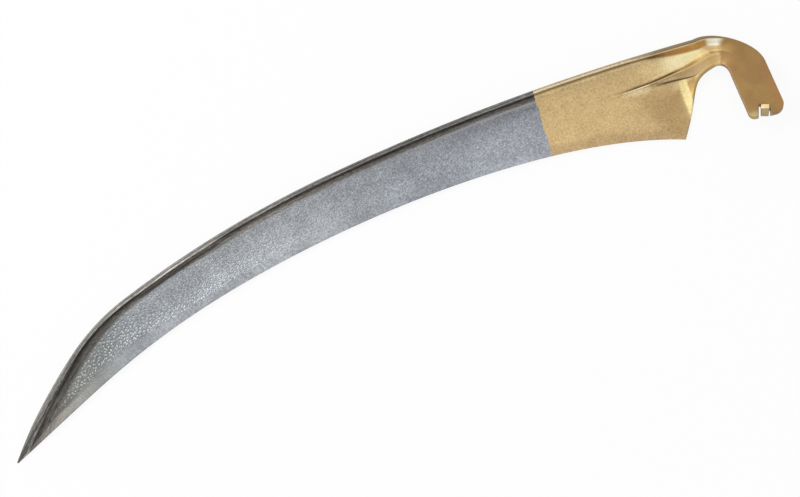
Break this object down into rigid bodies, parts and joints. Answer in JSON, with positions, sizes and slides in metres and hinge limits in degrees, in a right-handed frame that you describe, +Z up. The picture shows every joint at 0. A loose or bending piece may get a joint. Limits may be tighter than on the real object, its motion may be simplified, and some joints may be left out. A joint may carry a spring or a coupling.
{
  "type": "scythe blade",
  "caption": "Bowed scythe blade with a raised rib along its back, a lacquered heel with a fold and a beard, and a lifted tang that ends in a bent-up knob.",
  "frame": {"origin": "middle of the flat upper face of the tang, where the blade seats on its snath", "axes": "+X runs from the point to the heel along the blade's chord, +Y across the blade from the edge to the back, +Z up on the side of the rib, square to the blade's plane"},
  "size_m": [0.6711, 0.1513, 0.0339],
  "materials": {
    "hammered_steel": "satin, with rows of fine hammer marks",
    "dark_scale": "dark forge scale, satin",
    "bright_edge": "smooth, hammered out",
    "gold_lacquer": "gold lacquer with a fine sandy grain",
    "satin_gold": "smooth satin gold lacquer"
  },
  "bodies": {
    "root": {"point": "dark_scale", "edge": "bright_edge", "web": "hammered_steel", "rib": "dark_scale", "heel_rib": "gold_lacquer", "heel_plate": "gold_lacquer", "trough": "gold_lacquer", "fold": "gold_lacquer", "beard": "gold_lacquer", "heel_edge": "gold_lacquer", "neck": "satin_gold", "tang": "satin_gold", "knob": "satin_gold"}
  },
  "joints": []
}
